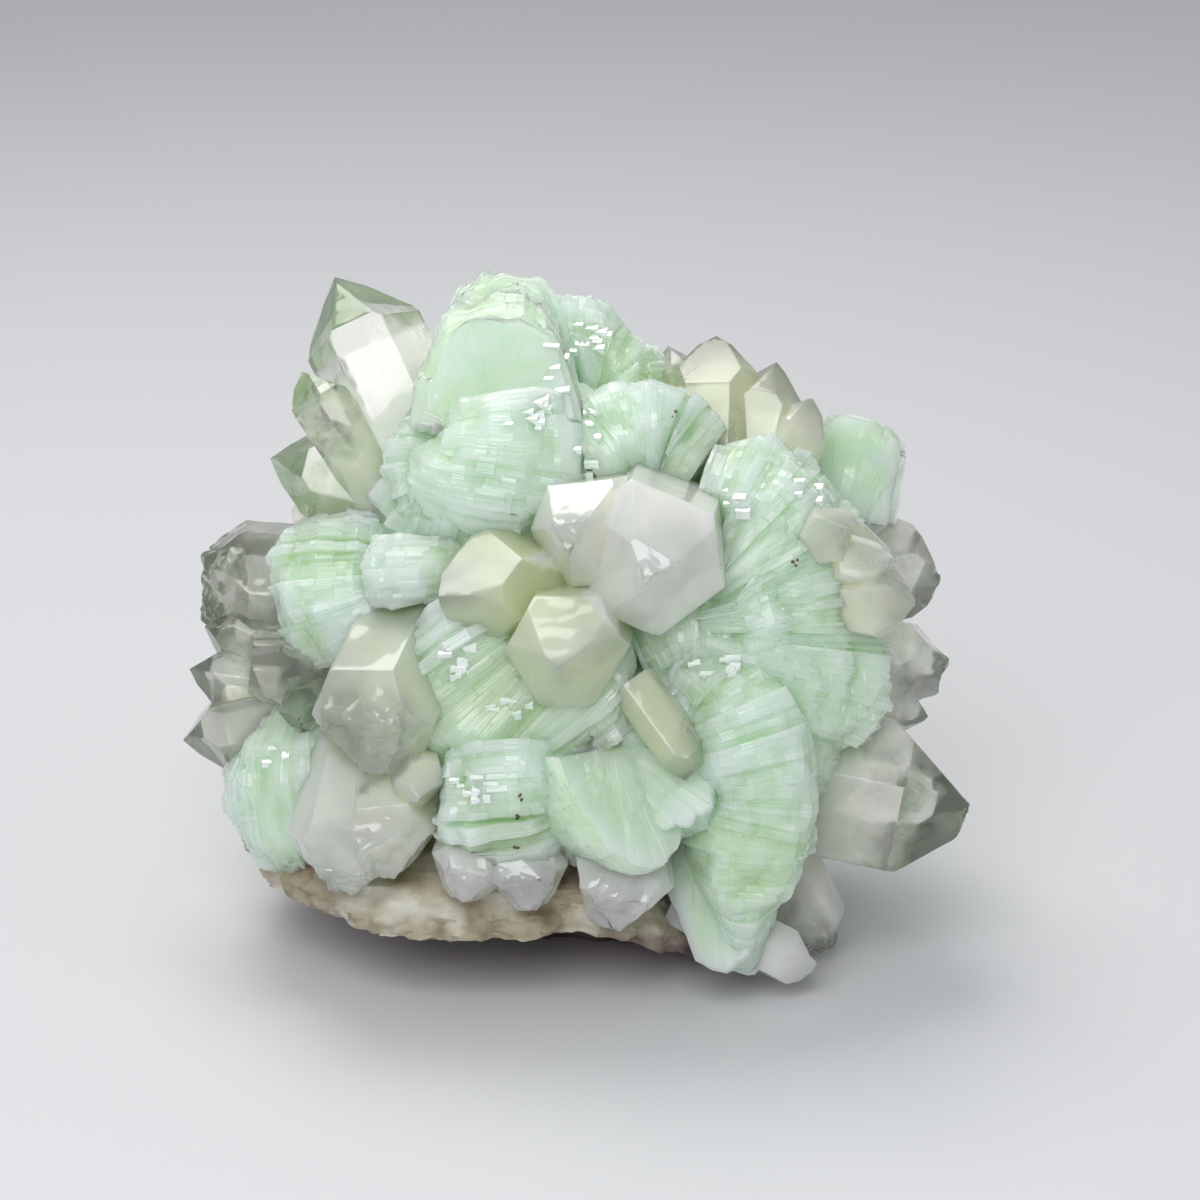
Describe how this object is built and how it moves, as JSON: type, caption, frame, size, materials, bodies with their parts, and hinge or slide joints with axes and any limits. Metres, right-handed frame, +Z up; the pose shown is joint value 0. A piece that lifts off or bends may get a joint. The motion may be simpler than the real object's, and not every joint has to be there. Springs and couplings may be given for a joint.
{
  "type": "prehnite with quartz mineral specimen",
  "caption": "A loose cluster of pale green prehnite in fanned plates with cream, yellow and clear quartz points, grown on a thin piece of rough rock that it rests on.",
  "frame": {"origin": "bottom centre of the bounding box, on the surface that the specimen rests on", "axes": "+X right and +Z up as the specimen is displayed, with its best crystals facing -Y"},
  "size_m": [0.0629, 0.047, 0.0526],
  "materials": {
    "matrix_rock": "rough granular rock, tan to pinkish grey",
    "prehnite": "milky translucent, pale green, waxy to glassy with fine parallel lines",
    "clear_quartz": "clear glassy crystal with milky veils",
    "smoky_quartz": "clear grey-brown glassy crystal",
    "cream_quartz": "cloudy cream crystal with glassy faces",
    "yellow_quartz": "pale olive-yellow glassy crystal",
    "white_quartz": "whitish broken crystal, semi-clear"
  },
  "bodies": {
    "root": {"matrix": "matrix_rock", "prehnite": "prehnite", "quartz_upper_left": "clear_quartz", "quartz_left": "smoky_quartz", "quartz_centre": "cream_quartz", "quartz_slim": "yellow_quartz", "quartz_lower_left": "cream_quartz", "quartz_upper_right": "yellow_quartz", "quartz_right_yellow": "yellow_quartz", "quartz_right_clear": "clear_quartz", "quartz_big_right": "clear_quartz", "quartz_foot": "white_quartz", "quartz_front": "white_quartz", "quartz_back_top": "clear_quartz", "quartz_back_left": "clear_quartz", "quartz_back_right": "clear_quartz", "quartz_back_low": "yellow_quartz"}
  },
  "joints": []
}
